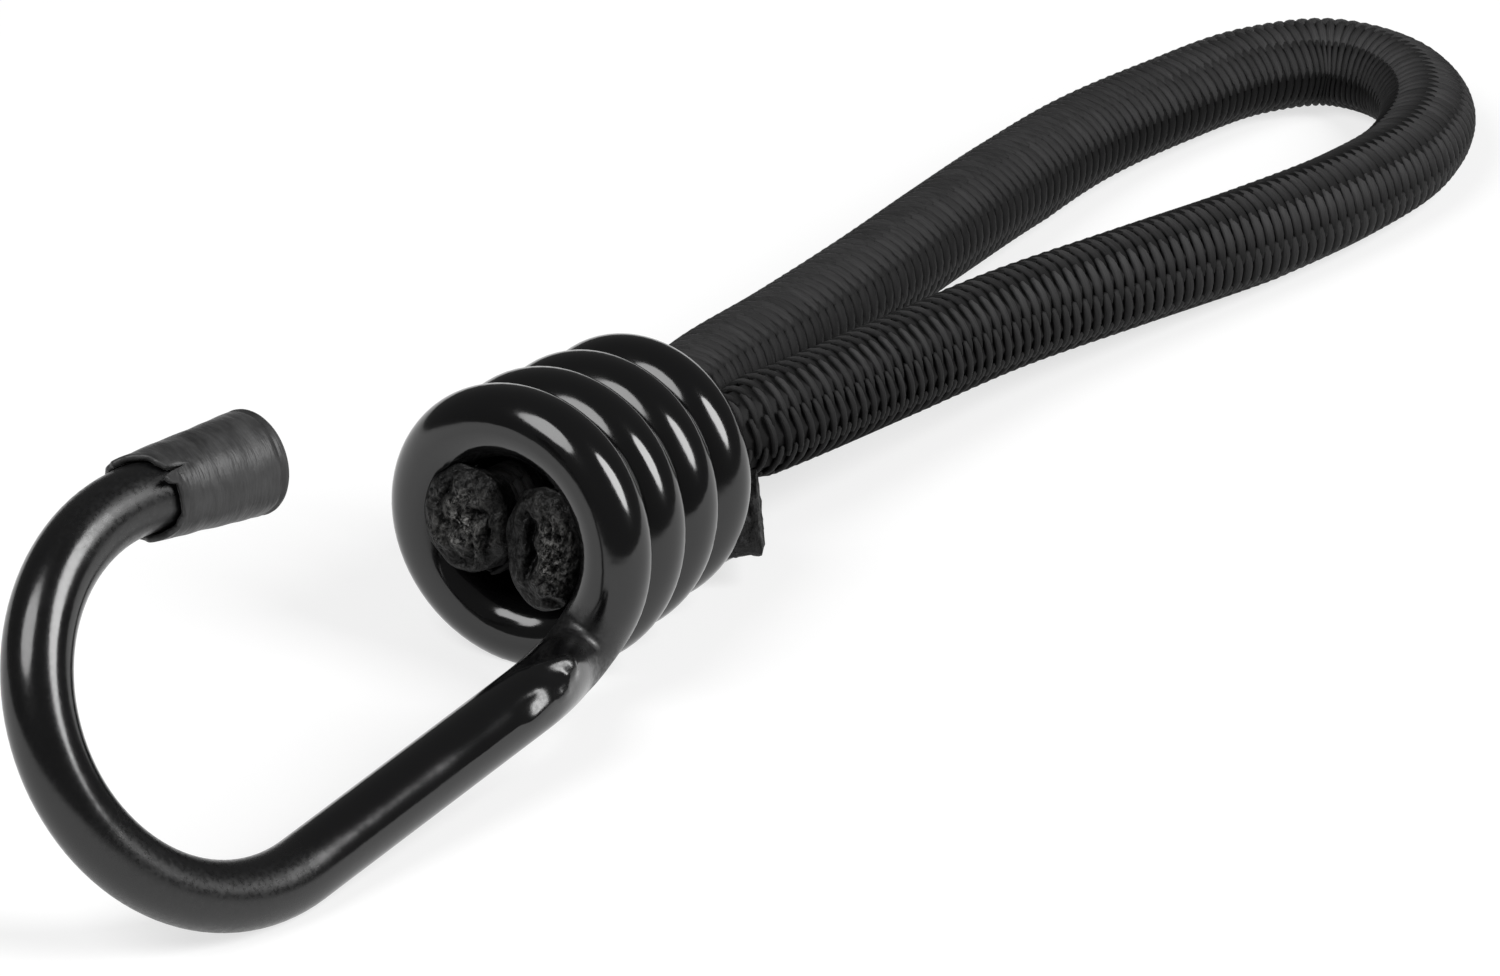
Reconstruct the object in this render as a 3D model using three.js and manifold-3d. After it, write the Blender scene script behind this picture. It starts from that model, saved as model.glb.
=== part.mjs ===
import * as THREE from "three";
import Module from "manifold-3d";

// Wire of the hook, millimetres
const WIRE_D = 5.5;
const COAT_WALL = 0.7;
const COAT_FIT = 0.15;
const WIRE_SIDES = 8;

// Coil: a cone of turns, wide at the hook end, lying on its side
const COIL_R = 9.5;
const COIL_TAPER = 0.53;
const TURN_GAP = 0.5;
const COIL_START = THREE.MathUtils.degToRad(-25);
const COIL_END = THREE.MathUtils.degToRad(1378);
const COIL_STEPS = 79;
const TAIL_LENGTH = 5.2;

// Hook: set out in a plane that leans over the coil, from a point of the first turn
const HOOK_START = THREE.MathUtils.degToRad(28);
const HOOK_LEAN = THREE.MathUtils.degToRad(15.6);
const DROP_LENGTH = 2.1;
const JOGGLE_R = 7.8;
const JOGGLE_TURN = THREE.MathUtils.degToRad(77);
const LEG_LENGTH = 33.9;
const HOOK_R = 15.4;
const HOOK_TURN = THREE.MathUtils.degToRad(194);
const TIP_LENGTH = 11.8;

// Pinch: the tight bend from the first turn towards the leg, and the length that eases into the leg
const PINCH_INSIDE = 0.65;
const PINCH_REACH = 8;
const PINCH_EASE = 0.9;
const PINCH_STEPS = 7;
const PINCH_PASSES = 6;

// Cap pushed over the tip
const CAP_LENGTH = 13.4;
const CAP_END_WALL = 1.6;
const CAP_MOUTH_D = 6.9;
const CAP_END_D = 7.8;
const CAP_FIT = 0.2;

// Cord, round where it is free and squeezed to an oval in the coil
const CORD_D = 8.3;
const SHEATH_WALL = 1;
const SQUEEZED_WALL = 0.75;
const CORE_FIT = 0.2;
const CLAMP_FIT = 0.3;
const JOINT_GAP = 0.3;
const OVAL_HEIGHT = 0.7;
const SWELL_LENGTH = 12;
const CORD_SIDES = 8;
const END_STEPS = 7;
const NEAR_END_X = -0.6;
const FAR_END_X = 0.8;
const EXIT_X = 25;

// Route of the loop from the near strand to the far one, a hand-chosen list
const LOOP = [
  [32, -4.6, 8.7],
  [46, -6.6, 7.4],
  [60, -8.9, 6.3],
  [74, -12.6, 5.2],
  [88, -16.6, 4.2],
  [100, -19.5, 3.5],
  [109.5, -20.3, 3.2],
  [117.8, -17.8, 3.2],
  [122.6, -12.4, 3.2],
  [122.8, -6, 3.2],
  [117.6, -1, 3.2],
  [108.5, 2.3, 3.2],
  [98, 4.6, 3.6],
  [86, 5.2, 4.3],
  [74, 4.9, 5.2],
  [60, 4.3, 6.3],
  [46, 4.1, 7.4],
  [33, 4, 8.6],
];
// Shares of the route where the flexing, stretching and end lengths meet
const FLEX_TO = 0.1;
const STRETCH_TO = 0.38;
const FLEX_STEPS = 6;
const STRETCH_STEPS = 10;
const BIGHT_STEPS = 20;

// Depth of the flat that the coil stands on
const STAND_FLAT = 0.4;

const wasm = await Module();
wasm.setup();

const wireR = WIRE_D / 2;
const pitch = WIRE_D + TURN_GAP;
const coneTilt = Math.asin(COIL_TAPER / pitch);
const facetR = wireR * Math.cos(Math.PI / WIRE_SIDES);

// Axes of the lying coil: along it, to its near side, and up from it
const along = new THREE.Vector3(Math.cos(coneTilt), 0, -Math.sin(coneTilt));
const toNear = new THREE.Vector3(0, -1, 0);
const upward = new THREE.Vector3(Math.sin(coneTilt), 0, Math.cos(coneTilt));

function coilRadius(angle) {
  return COIL_R - (COIL_TAPER * angle) / (2 * Math.PI);
}

// The seat is the bottom of the first turn, and the part's origin
const seatAngle = 1.5 * Math.PI;
const seatDrop = coilRadius(seatAngle) + facetR - STAND_FLAT / Math.cos(coneTilt);
const seatFromCentre = along
  .clone()
  .multiplyScalar((pitch * seatAngle) / (2 * Math.PI))
  .addScaledVector(upward, -seatDrop);

function coilPoint(x, near, up) {
  return new THREE.Vector3()
    .addScaledVector(along, x)
    .addScaledVector(toNear, near)
    .addScaledVector(upward, up)
    .sub(seatFromCentre);
}

// A station of the wire: a point, the way on, and a direction across the wire
function helixStation(angle) {
  const r = coilRadius(angle);
  const out = toNear.clone().multiplyScalar(Math.cos(angle)).addScaledVector(upward, Math.sin(angle));
  const round = toNear.clone().multiplyScalar(-Math.sin(angle)).addScaledVector(upward, Math.cos(angle));
  const way = round
    .multiplyScalar(r)
    .addScaledVector(along, pitch / (2 * Math.PI))
    .addScaledVector(out, -COIL_TAPER / (2 * Math.PI))
    .normalize();
  const across = out.clone().addScaledVector(way, -out.dot(way)).normalize();
  const x = (pitch * angle) / (2 * Math.PI);
  return { point: coilPoint(x, r * Math.cos(angle), r * Math.sin(angle)), way, across };
}

// Points of the wire from the first turn round the pinch and on to the leg
function pinchPoints(legFrom, legWay) {
  const first = helixStation(COIL_START);
  const leave = first.way.clone().negate();
  const target = legFrom.clone().addScaledVector(legWay, PINCH_REACH);
  const radius = wireR + PINCH_INSIDE;
  let heading = target.clone().sub(first.point).addScaledVector(leave, -radius).normalize();
  let bend = [];
  for (let pass = 0; pass < PINCH_PASSES; pass++) {
    const axis = new THREE.Vector3().crossVectors(leave, heading).normalize();
    const turn = leave.angleTo(heading);
    const centre = first.point.clone().addScaledVector(new THREE.Vector3().crossVectors(axis, leave), radius);
    const arm = first.point.clone().sub(centre);
    bend = Array.from({ length: PINCH_STEPS }, (_, i) =>
      centre.clone().add(arm.clone().applyAxisAngle(axis, (turn * (i + 1)) / PINCH_STEPS)),
    );
    heading = target.clone().sub(bend.at(-1)).normalize();
  }
  const from = bend.at(-1);
  const pull = from.distanceTo(target) * PINCH_EASE;
  const ease = new THREE.CubicBezierCurve3(
    from,
    from.clone().addScaledVector(heading, pull / 3),
    target.clone().addScaledVector(legWay, -pull / 3),
    target,
  );
  return [...bend, ...ease.getPoints(PINCH_STEPS).slice(1)];
}

function hookStations() {
  const first = helixStation(HOOK_START);
  let point = first.point;
  let way = first.way.clone().negate();
  let across = first.across;
  const normal = new THREE.Vector3().crossVectors(way, along).negate().normalize();
  normal.applyAxisAngle(way, HOOK_LEAN);
  const stations = [];
  const line = (length, steps) => {
    const from = point;
    for (let i = 1; i <= steps; i++) {
      point = from.clone().addScaledVector(way, (length * i) / steps);
      stations.push({ point, way: way.clone().negate(), across });
    }
  };
  const arc = (radius, turn, steps) => {
    const centre = point.clone().addScaledVector(new THREE.Vector3().crossVectors(normal, way), radius);
    const arm = point.clone().sub(centre);
    const way0 = way;
    const across0 = across;
    for (let i = 1; i <= steps; i++) {
      const a = (turn * i) / steps;
      point = centre.clone().add(arm.clone().applyAxisAngle(normal, a));
      way = way0.clone().applyAxisAngle(normal, a);
      across = across0.clone().applyAxisAngle(normal, a);
      stations.push({ point, way: way.clone().negate(), across });
    }
  };
  const capTurn = (CAP_LENGTH - TIP_LENGTH) / HOOK_R;
  // The leg lies where a drop and a wide bend would set it, and the wire gets there by the pinch
  line(DROP_LENGTH, 1);
  arc(JOGGLE_R, JOGGLE_TURN, 1);
  stations.length = 0;
  const start = helixStation(COIL_START);
  let from = start.way.clone().negate();
  across = start.across;
  const path = [start.point, ...pinchPoints(point, way)];
  path.slice(1).forEach((p, i) => {
    const on = i + 2 < path.length ? path[i + 2].clone().sub(path[i]).normalize() : way;
    across = across.clone().applyQuaternion(new THREE.Quaternion().setFromUnitVectors(from, on));
    stations.push({ point: p, way: on.clone().negate(), across });
    from = on;
  });
  point = path.at(-1);
  line(LEG_LENGTH - PINCH_REACH, 3);
  arc(HOOK_R, HOOK_TURN - capTurn, 14);
  arc(HOOK_R, capTurn, 2);
  line(TIP_LENGTH - CAP_END_WALL - CAP_FIT, 2);
  line(CAP_FIT, 1);
  line(CAP_END_WALL, 1);
  return stations.reverse();
}

function tailStation() {
  const last = helixStation(COIL_END);
  return { ...last, point: last.point.clone().addScaledVector(last.way, TAIL_LENGTH) };
}

// A ring of points round a station, a facet facing the across direction
function ring(station, acrossR, upR, sides) {
  const other = new THREE.Vector3().crossVectors(station.way, station.across).normalize();
  return Array.from({ length: sides }, (_, k) => {
    const a = (2 * Math.PI * (k + 0.5)) / sides;
    return station.point
      .clone()
      .addScaledVector(station.across, acrossR * Math.cos(a))
      .addScaledVector(other, upR * Math.sin(a));
  });
}

// A closed skin from loops of rings: one loop is a rod or cup, and its ends are closed
function skin(rings, joined) {
  const sides = rings[0].length;
  const positions = [];
  const index = [];
  for (const r of rings) {
    for (const p of r) positions.push(p.x, p.y, p.z);
  }
  const spans = joined ? rings.length : rings.length - 1;
  for (let i = 0; i < spans; i++) {
    const low = i * sides;
    const high = ((i + 1) % rings.length) * sides;
    for (let k = 0; k < sides; k++) {
      const n = (k + 1) % sides;
      index.push(low + k, low + n, high + n, low + k, high + n, high + k);
    }
  }
  if (!joined) {
    const last = (rings.length - 1) * sides;
    for (let k = 1; k < sides - 1; k++) {
      index.push(0, k + 1, k, last, last + k, last + k + 1);
    }
  }
  const g = new THREE.BufferGeometry();
  g.setAttribute("position", new THREE.BufferAttribute(new Float32Array(positions), 3));
  g.setIndex(index);
  return g;
}

function rod(stations, acrossR, upR, sides) {
  return skin(stations.map((s, i) => ring(s, acrossR(i), upR(i), sides)), false);
}

function pipe(outside, inside) {
  return skin([...outside, ...inside.slice().reverse()], true);
}

// What is left above the floor
function standing(geometry) {
  const solid = new wasm.Manifold(
    new wasm.Mesh({
      numProp: 3,
      vertProperties: geometry.attributes.position.array,
      triVerts: new Uint32Array(geometry.index.array),
    }),
  );
  const mesh = solid.trimByPlane([0, 0, 1], 0).getMesh();
  const g = new THREE.BufferGeometry();
  g.setAttribute("position", new THREE.BufferAttribute(new Float32Array(mesh.vertProperties), 3));
  g.setIndex(Array.from(mesh.triVerts));
  return g;
}

const part = new THREE.Group();
function add(name, geometry, material) {
  const mesh = new THREE.Mesh(geometry, material);
  mesh.name = name;
  part.add(mesh);
}

const steel = new THREE.MeshStandardMaterial({ color: 0x8d8f92, roughness: 0.4, metalness: 1 });
const coat = new THREE.MeshStandardMaterial({ color: 0x0c0c0d, roughness: 0.18, metalness: 0 });
const vinyl = new THREE.MeshStandardMaterial({ color: 0x262627, roughness: 0.6, metalness: 0 });
const braid = new THREE.MeshStandardMaterial({ color: 0x151516, roughness: 0.85, metalness: 0 });
const rubber = new THREE.MeshStandardMaterial({ color: 0x1d1b1a, roughness: 0.75, metalness: 0 });

// Hook wire: tip, bend, leg, coil and tail, a steel core in its coat
const capEnd = hookStations();
const coil = Array.from({ length: COIL_STEPS + 1 }, (_, i) =>
  helixStation(COIL_START + ((COIL_END - COIL_START) * i) / COIL_STEPS),
);
const wire = [...capEnd.slice(2), ...coil, tailStation()];
const coreR = wireR - COAT_WALL - COAT_FIT;
const boreR = wireR - COAT_WALL;
const whole = (r) => () => r;
add("hook_core", rod(wire, whole(coreR), whole(coreR), WIRE_SIDES), steel);
const coatOutside = wire.map((s) => ring(s, wireR, wireR, WIRE_SIDES));
const coatInside = wire.map((s) => ring(s, boreR, boreR, WIRE_SIDES));
add("hook_coating", standing(pipe(coatOutside, coatInside)), coat);

// Least gap of the wound wire to itself, on points a full turn or more apart
const dense = Array.from({ length: 800 }, (_, i) =>
  helixStation(COIL_START + ((COIL_END - COIL_START) * i) / 799).point,
);
const perTurn = Math.floor((800 * 2 * Math.PI) / (COIL_END - COIL_START));
let least = Infinity;
for (let i = 0; i < dense.length; i++) {
  for (let j = i + Math.floor(perTurn * 0.6); j < dense.length; j++) {
    least = Math.min(least, dense[i].distanceTo(dense[j]) - WIRE_D);
  }
}
console.log("least gap between turns, mm", least.toFixed(2));

// Tip cap: a cup over the last of the tip and the start of the bend
const mouthAt = 7;
const cupStations = capEnd.slice(0, mouthAt);
const capR = (i) => {
  const s = cupStations[i].point.distanceTo(capEnd[0].point) / CAP_LENGTH;
  return (CAP_END_D + (CAP_MOUTH_D - CAP_END_D) * Math.min(1, s)) / 2;
};
const capOutside = cupStations.map((s, i) => ring(s, capR(i), capR(i), WIRE_SIDES));
const capBore = wireR + CAP_FIT;
const capInside = cupStations.slice(1).map((s) => ring(s, capBore, capBore, WIRE_SIDES));
add("tip_cap", skin([...capOutside, ...capInside.reverse()], false), vinyl);

// Cord ends: two ovals side by side, held in the coil
function roomAt(x) {
  return coilRadius((2 * Math.PI * x) / pitch) - wireR - CLAMP_FIT;
}
function ovalAt(x) {
  const room = roomAt(Math.max(x, 0));
  return { across: (room - CLAMP_FIT / 2) / 2, up: room * OVAL_HEIGHT, middle: (room + CLAMP_FIT / 2) / 2 };
}
function heldStations(fromX, side) {
  return Array.from({ length: END_STEPS + 1 }, (_, i) => {
    const x = fromX + ((EXIT_X - JOINT_GAP - fromX) * i) / END_STEPS;
    const oval = ovalAt(x);
    return { point: coilPoint(x, side * oval.middle, 0), way: along, across: toNear, x };
  });
}
function addHeld(label, fromX, side) {
  const stations = heldStations(fromX, side);
  const outside = stations.map((s) => ring(s, ovalAt(s.x).across, ovalAt(s.x).up, CORD_SIDES));
  const less = (s, by) => ring(s, ovalAt(s.x).across - by, ovalAt(s.x).up - by, CORD_SIDES);
  add("held_sheath_" + label, pipe(outside, stations.map((s) => less(s, SQUEEZED_WALL))), braid);
  const coreRings = stations.map((s) => less(s, SQUEEZED_WALL + CORE_FIT));
  add("held_rubber_" + label, skin(coreRings, false), rubber);
}
addHeld("near", NEAR_END_X, 1);
addHeld("far", FAR_END_X, -1);

// Loop: one cord, in lengths that flex, stretch and turn back
const exitOval = ovalAt(EXIT_X);
const route = new THREE.CatmullRomCurve3(
  [
    coilPoint(EXIT_X, exitOval.middle, 0),
    ...LOOP.map((p) => new THREE.Vector3(...p)),
    coilPoint(EXIT_X, -exitOval.middle, 0),
  ],
  false,
  "centripetal",
);
route.arcLengthDivisions = 2000;
const routeLength = route.getLength();
console.log("free cord along the loop, mm", routeLength.toFixed(1));

function loopStation(u) {
  const way = route.getTangentAt(u);
  if (u === 0) way.copy(along);
  if (u === 1) way.copy(along).negate();
  const across = new THREE.Vector3(way.y, -way.x, 0).normalize();
  const fromExit = Math.min(u, 1 - u) * routeLength;
  const swell = THREE.MathUtils.smoothstep(fromExit, 0, SWELL_LENGTH);
  return {
    point: route.getPointAt(u),
    way,
    across,
    acrossR: THREE.MathUtils.lerp(exitOval.across, CORD_D / 2, swell),
    upR: THREE.MathUtils.lerp(exitOval.up, CORD_D / 2, swell),
    wall: THREE.MathUtils.lerp(SQUEEZED_WALL, SHEATH_WALL, swell),
  };
}
function addLength(label, fromU, toU, steps, stands) {
  const trim = JOINT_GAP / 2 / routeLength;
  const a = fromU === 0 ? 0 : fromU + trim;
  const b = toU === 1 ? 1 : toU - trim;
  const stations = Array.from({ length: steps + 1 }, (_, i) => loopStation(a + ((b - a) * i) / steps));
  const rings = (less) =>
    stations.map((s) => ring(s, s.acrossR - less(s), s.upR - less(s), CORD_SIDES));
  const sleeve = pipe(rings(() => 0), rings((s) => s.wall));
  add(label + "_sheath", stands ? standing(sleeve) : sleeve, braid);
  add(label + "_rubber", skin(rings((s) => s.wall + CORE_FIT), false), rubber);
}
addLength("flex_near", 0, FLEX_TO, FLEX_STEPS, false);
addLength("stretch_near", FLEX_TO, STRETCH_TO, STRETCH_STEPS, true);
addLength("bight", STRETCH_TO, 1 - STRETCH_TO, BIGHT_STEPS, true);
addLength("stretch_far", 1 - STRETCH_TO, 1 - FLEX_TO, STRETCH_STEPS, true);
addLength("flex_far", 1 - FLEX_TO, 1, FLEX_STEPS, false);

export default part;
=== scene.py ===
import math

import bpy
import numpy as np
from mathutils import Matrix, Quaternion, Vector, noise


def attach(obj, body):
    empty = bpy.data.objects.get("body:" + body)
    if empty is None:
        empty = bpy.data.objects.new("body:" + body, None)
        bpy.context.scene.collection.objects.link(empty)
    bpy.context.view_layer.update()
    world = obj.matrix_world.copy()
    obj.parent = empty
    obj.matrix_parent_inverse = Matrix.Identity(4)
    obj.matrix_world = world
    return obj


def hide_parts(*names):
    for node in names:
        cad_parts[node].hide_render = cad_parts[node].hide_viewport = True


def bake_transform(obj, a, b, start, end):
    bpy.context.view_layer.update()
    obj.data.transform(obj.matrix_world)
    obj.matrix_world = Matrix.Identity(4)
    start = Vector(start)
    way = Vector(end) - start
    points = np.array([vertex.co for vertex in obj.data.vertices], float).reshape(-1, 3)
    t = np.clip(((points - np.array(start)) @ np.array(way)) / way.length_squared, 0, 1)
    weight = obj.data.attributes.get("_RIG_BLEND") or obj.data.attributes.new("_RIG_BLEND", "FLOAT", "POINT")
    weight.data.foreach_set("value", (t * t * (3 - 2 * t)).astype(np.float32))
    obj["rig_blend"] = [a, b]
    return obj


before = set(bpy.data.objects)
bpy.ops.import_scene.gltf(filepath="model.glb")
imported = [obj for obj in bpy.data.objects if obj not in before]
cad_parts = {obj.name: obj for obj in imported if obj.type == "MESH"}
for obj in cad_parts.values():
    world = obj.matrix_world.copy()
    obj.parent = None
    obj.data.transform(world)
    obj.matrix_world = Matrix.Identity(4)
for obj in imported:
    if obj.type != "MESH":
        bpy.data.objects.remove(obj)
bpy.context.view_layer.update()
scene = bpy.context.scene
scene.view_settings.view_transform = "Standard"


# Camera: a long lens a metre off, low over the coil's open mouth.
# It is aimed a little past the coil, so that the loop fills the upper right of the frame.
camera_turn = math.radians(59.2)
camera_tilt = math.radians(27)
camera_distance = 1.0
frame_width_px = 1500
pixels_per_metre = 12900
mouth_in_frame_px = (-240, -53)
coil_mouth = Vector((-0.0035, 0, 0.0116))
view_away = Vector((
    math.sin(camera_turn) * math.cos(camera_tilt),
    math.cos(camera_turn) * math.cos(camera_tilt),
    -math.sin(camera_tilt),
))
view_right = Vector((math.cos(camera_turn), -math.sin(camera_turn), 0))
view_up = view_right.cross(view_away)
lens = bpy.data.cameras.new("long_lens")
lens.sensor_width = 36
lens.lens = lens.sensor_width * pixels_per_metre * camera_distance / frame_width_px
camera = bpy.data.objects.new("camera", lens)
camera.location = coil_mouth - view_away * camera_distance
camera.rotation_mode = "QUATERNION"
facing = Matrix((view_right, view_up, -view_away)).transposed().to_quaternion()
pan = Quaternion((0, 1, 0), math.atan(mouth_in_frame_px[0] / pixels_per_metre))
nod = Quaternion((1, 0, 0), math.atan(-mouth_in_frame_px[1] / pixels_per_metre))
camera.rotation_quaternion = facing @ pan @ nod
scene.collection.objects.link(camera)
scene.camera = camera


# Loop: the free length of an 8 mm elastic cord, rubber threads in a tight black polyester braid.
# The braid is eight columns of short yarn floats that lie across the cord and lean to either side.
# It leaves the coil beside its own other end, and the far bend lies on the floor.
MM = 0.001
coil_pitch = 6.0
coil_radius = 9.5
coil_taper = 0.53
wire_radius = 2.75
cone_tilt = math.asin(coil_taper / coil_pitch)
coil_along = Vector((math.cos(cone_tilt), 0, -math.sin(cone_tilt)))
coil_near = Vector((0, -1, 0))
coil_up = Vector((math.sin(cone_tilt), 0, math.cos(cone_tilt)))
coil_start = Vector((-3.4893, 0, 11.5952))
cord_radius = 4.15
cord_exit_x = 25
clamp_fit = 0.3
held_height = 0.7
swell_length = 7.5
loop_knots = [
    (32, -4.6, 8.7), (46, -6.6, 7.4), (60, -8.9, 6.3), (74, -12.6, 5.2), (88, -16.6, 4.2),
    (100, -19.5, 3.5), (109.5, -20.3, 3.2), (117.8, -17.8, 3.2), (122.6, -12.4, 3.2),
    (122.8, -6, 3.2), (117.6, -1, 3.2), (108.5, 2.3, 3.2), (98, 4.6, 3.6), (86, 5.2, 4.3),
    (74, 4.9, 5.2), (60, 4.3, 6.3), (46, 4.1, 7.4), (33, 4, 8.6),
]
knot_steps = 60
way_step = 0.4


def clamp(value):
    return max(0, min(1, value))


def in_coil(x, near, up):
    return coil_start + coil_along * x + coil_near * near + coil_up * up


def turn_radius(angle):
    return coil_radius - coil_taper * angle / math.tau


def squeezed(x):
    """Half width, half height and distance off the coil's middle of a cord end held in the coil."""
    room = turn_radius(math.tau * max(x, 0) / coil_pitch) - wire_radius - clamp_fit
    return (room - clamp_fit / 2) / 2, room * held_height, (room + clamp_fit / 2) / 2


def smooth_line(knots, steps):
    """A centripetal curve through the knots, as close points."""
    ends = [2 * knots[0] - knots[1], *knots, 2 * knots[-1] - knots[-2]]
    line = []
    for a, b, c, d in zip(ends, ends[1:], ends[2:], ends[3:]):
        t0, t1, t2 = (math.sqrt((q - p).length) for p, q in ((a, b), (b, c), (c, d)))
        leave = t1 * ((b - a) / t0 - (c - a) / (t0 + t1) + (c - b) / t1)
        reach = t1 * ((c - b) / t1 - (d - b) / (t1 + t2) + (d - c) / t2)
        for i in range(steps):
            u = i / steps
            line.append(
                b * (2 * u**3 - 3 * u**2 + 1)
                + leave * (u**3 - 2 * u**2 + u)
                + c * (3 * u**2 - 2 * u**3)
                + reach * (u**3 - u**2)
            )
    return line + [knots[-1]]


exit_wide, exit_tall, exit_off = squeezed(cord_exit_x)
near_exit = in_coil(cord_exit_x, exit_off, 0)
far_exit = in_coil(cord_exit_x, -exit_off, 0)
free_line = np.array(smooth_line([near_exit, *map(Vector, loop_knots), far_exit], knot_steps))
free_steps = np.linalg.norm(np.diff(free_line, axis=0), axis=1)
free_run = np.concatenate([[0], np.cumsum(free_steps)])
free_length = float(free_run[-1])


def cord_section(s):
    """Middle, way on, outward side, half width and half height, s mm past the near exit."""
    from_exit = min(s, free_length - s)
    if from_exit < 0:
        x = cord_exit_x + from_exit
        side = 1 if s < 0 else -1
        wide, tall, off = squeezed(x)
        return in_coil(x, side * off, 0), coil_along * side, coil_near * side, wide, tall

    def at(run):
        return Vector([np.interp(run, free_run, free_line[:, k]) for k in range(3)])

    middle = at(s)
    if from_exit < way_step:
        way = coil_along if s < way_step else -coil_along
    else:
        way = (at(s + way_step) - at(s - way_step)).normalized()
    out = Vector((way.y, -way.x, 0)).normalized()
    t = min(1, from_exit / swell_length)
    swell = t * t * (3 - 2 * t)
    wide = exit_wide + (cord_radius - exit_wide) * swell
    tall = exit_tall + (cord_radius - exit_tall) * swell
    top, bottom = middle.z + tall, max(0, middle.z - tall)
    middle.z = (top + bottom) / 2
    return middle, way, out, wide, (top - bottom) / 2


flex_share = 0.1
flex_ribs = 17
flex_pitch = free_length * flex_share / flex_ribs
free_ribs = 194
rib_pitch = 1.146
bend_crowding = 0.2
rib_sizes = {"Rib reach": 2.15 * MM, "Rib width": 0.34 * MM, "Rib height": 0.3 * MM}
thin_rib = 0.75  # share of a float's height that stays where the cord is squeezed thin
sleeve_tuck = 0.2
braid_columns = 8
column_turn = 0.28
column_twist = -0.0094  # columns gained in each mm of cord
column_leans = [math.radians(lean) for lean in (10, -8, -8, 5, 8, -8, 8, -8)]
column_shifts = (0.2, 0.5, 0, 0.7, 0.2, 0.9, 0.4, 0.7)
# Painted shade round the cord, by angle from its outer side: light on top, darker on the outer side and
# underneath, darkest on the side that faces into the loop.
painted_side_shade = (0.5, 1.0, 0.95, 1.0, 0.15, 0.3, 0.45, 0.48, 0.5)
drawn_from, drawn_over = 25, 55  # where the floats widen, in mm past the near exit
slack_width, drawn_width = 0.85, 0.95
highlight_near, highlight_fall = 2.4, 3.6  # painted highlight and shade on the float ends: full on the near strand, none on the far one
# More painted highlight on the float ends where the floats widen.
drawn_highlight = 0.6


def rib_place(rib):
    """Distance along the cord of a float.

    The floats lie wide apart near the coil and crowd together in the bend.
    """
    if rib < flex_ribs:
        return rib * flex_pitch
    if rib > free_ribs - flex_ribs:
        return free_length - (free_ribs - rib) * flex_pitch
    share = (rib - flex_ribs) / (free_ribs - 2 * flex_ribs)
    share += bend_crowding * math.sin(math.tau * share) / math.tau
    return free_length * (flex_share + (1 - 2 * flex_share) * share)


def sleeve_point(section, c, n, depth):
    """A point round a cord section, some depth under its surface."""
    middle, way, out, wide, tall = section
    return middle + out * (wide - depth) * c + out.cross(way) * (tall - depth) * n


def tube_faces(points, spokes):
    """Four-sided faces between each ring of points and the next."""
    return [
        (low + i, low + spokes + i, low + spokes + (i + 1) % spokes, low + (i + 1) % spokes)
        for low in range(0, len(points) - spokes, spokes)
        for i in range(spokes)
    ]


def mark(mesh, label, values, kind="FLOAT"):
    """Store a value at every point of a mesh."""
    field = "vector" if kind == "FLOAT_VECTOR" else "value"
    layer = mesh.attributes.new(label, kind, "POINT")
    layer.data.foreach_set(field, np.array(values).ravel())


def braid_start(name, first_rib, last_rib):
    """A closed sleeve under the yarn, with a point at the middle of every float.

    The last ring carries no floats and is tucked under the first ones of the next length.
    """
    points, outs, ways, scales, leans, side_shades, end_highlights, carries = ([] for _ in range(8))
    side_shade_angles = np.linspace(0, math.tau, braid_columns + 1)
    for rib in range(first_rib, last_rib + 1):
        depth = rib_sizes["Rib height"] / MM + (sleeve_tuck if rib == last_rib else 0)
        for column in range(braid_columns):
            place = rib + column_shifts[column]
            s = rib_place(place)
            angle = math.tau * (column + column_turn + column_twist * s) / braid_columns
            c, n = math.cos(angle), math.sin(angle)
            section = cord_section(s)
            _, way, out, wide, tall = section
            before, after = (
                sleeve_point(cord_section(rib_place(place + step)), c, n, depth)
                for step in (-0.5, 0.5)
            )
            span = after - before
            drawn = clamp((s - drawn_from) / drawn_over)
            around = math.hypot(wide * n, tall * c) / cord_radius
            spread = span.length / rib_pitch * (slack_width + drawn_width * drawn)
            points.append(sleeve_point(section, c, n, depth) * MM)
            outs.append((out * (c / wide) + out.cross(way) * (n / tall)).normalized())
            ways.append(span.normalized())
            scales.append((around, spread, thin_rib + (1 - thin_rib) * around))
            leans.append(column_leans[column])
            # Painted shade, by the float's angle round the cord.
            side_shades.append(np.interp(angle % math.tau, side_shade_angles, painted_side_shade))
            # Painted highlight on the float ends, fading along the loop.
            end_highlight = clamp(highlight_near - highlight_fall * s / free_length)
            end_highlights.append(end_highlight * (1 + drawn_highlight * drawn))
            carries.append(rib < last_rib)
    faces = tube_faces(points, braid_columns)
    faces.append(tuple(range(braid_columns)))
    faces.append(tuple(reversed(range(len(points) - braid_columns, len(points)))))
    mesh = bpy.data.meshes.new(name)
    mesh.from_pydata(points, [], faces)
    for label, values in (("out", outs), ("way", ways), ("rib_scale", scales)):
        mark(mesh, label, values, "FLOAT_VECTOR")
    mark(mesh, "carries", carries, "BOOLEAN")
    for label, values in (("lean", leans), ("dye_and_shade", side_shades), ("end_highlight", end_highlights)):
        mark(mesh, label, values)
    return mesh


def node_maker(tree):
    """Ways to add a node, or a maths node, to a tree with its sockets filled or joined."""

    def add(kind, fill=(), **settings):
        made = tree.nodes.new(kind)
        for label, value in settings.items():
            setattr(made, label, value)
        for socket, value in dict(fill).items():
            if isinstance(value, bpy.types.NodeSocket):
                tree.links.new(value, made.inputs[socket])
            else:
                made.inputs[socket].default_value = value
        return made

    def maths(operation, a, b=0.0, c=0.0):
        return add("ShaderNodeMath", {0: a, 1: b, 2: c}, operation=operation).outputs[0]

    return add, maths


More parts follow.
